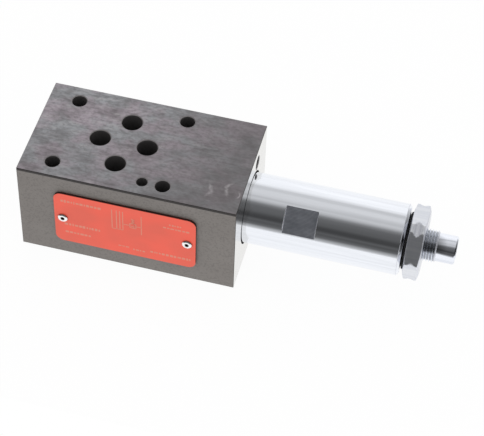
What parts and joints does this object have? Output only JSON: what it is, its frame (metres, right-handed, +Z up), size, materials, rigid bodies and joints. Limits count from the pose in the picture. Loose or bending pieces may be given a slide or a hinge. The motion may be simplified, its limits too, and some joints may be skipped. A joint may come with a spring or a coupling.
{
  "type": "hydraulic sandwich valve",
  "caption": "Size 6 modular hydraulic valve: ported block with straight ports and a screw-adjusted relief cartridge in one end.",
  "frame": {"origin": "centre of the four-port pattern on the lower mounting face of the block", "axes": "+X along the cartridge, away from the block; +Y towards port T; +Z up through the block, square to the mounting face"},
  "size_m": [0.1553, 0.046, 0.04],
  "materials": {
    "phosphated_steel": "satin, phosphated dark grey steel",
    "red_plate": "satin, red anodised sheet",
    "zinc_plate": "bright zinc plate on turned steel",
    "ground_steel": "ground bare steel",
    "hardened_steel": "hardened and ground steel",
    "spring_steel": "oiled spring steel",
    "nitrile_rubber": "matte black nitrile rubber",
    "white_ptfe": "matte white fluoroplastic"
  },
  "bodies": {
    "block": {"valve_block": "phosphated_steel", "name_plate": "red_plate", "plate_rivet_left": "zinc_plate", "plate_rivet_right": "zinc_plate", "port_seal_p": "nitrile_rubber", "port_seal_a": "nitrile_rubber", "port_seal_b": "nitrile_rubber", "port_seal_t": "nitrile_rubber", "gallery_plug_cup": "ground_steel", "gallery_plug_ball": "hardened_steel", "cartridge_body": "zinc_plate", "mouth_seal": "nitrile_rubber", "valve_sleeve": "hardened_steel", "sleeve_seal": "nitrile_rubber", "sleeve_backup_ring": "white_ptfe", "sleeve_retaining_ring": "spring_steel", "main_spring": "spring_steel"},
    "poppet": {"poppet": "hardened_steel", "spring_plate": "ground_steel"},
    "adjuster": {"adjuster_piston": "ground_steel", "adjuster_seal": "nitrile_rubber"},
    "screw": {"adjusting_screw": "zinc_plate"},
    "nut_washer": {"nut_seal": "nitrile_rubber"},
    "nut": {"lock_nut": "zinc_plate"}
  },
  "joints": [
    {"name": "poppet_lift", "type": "slide", "parent": "block", "child": "poppet", "axis": [1, 0, 0], "range_m": [0, 0.0015], "stiffness_N_per_m": 500, "springref_m": -0.01},
    {"name": "adjuster_travel", "type": "slide", "parent": "block", "child": "adjuster", "axis": [1, 0, 0], "range_m": [-0.005, 0.002], "deforming": ["main_spring"]},
    {"name": "screw_turn", "type": "hinge", "parent": "adjuster", "child": "screw", "pos_m": [0.1043, 0, 0.02], "axis": [1, 0, 0], "range_deg": [-1800, 720]},
    {"name": "nut_travel", "type": "slide", "parent": "block", "child": "nut_washer", "axis": [1, 0, 0], "range_m": [0, 0.003]},
    {"name": "nut_turn", "type": "hinge", "parent": "nut_washer", "child": "nut", "pos_m": [0.1053, 0, 0.02], "axis": [1, 0, 0], "range_deg": [0, 1080]}
  ],
  "couplings": [
    {"joint": "screw_turn", "follows": "adjuster_travel", "rad_per_m": 6283.2},
    {"joint": "nut_turn", "follows": "nut_travel", "rad_per_m": 6283.2}
  ]
}
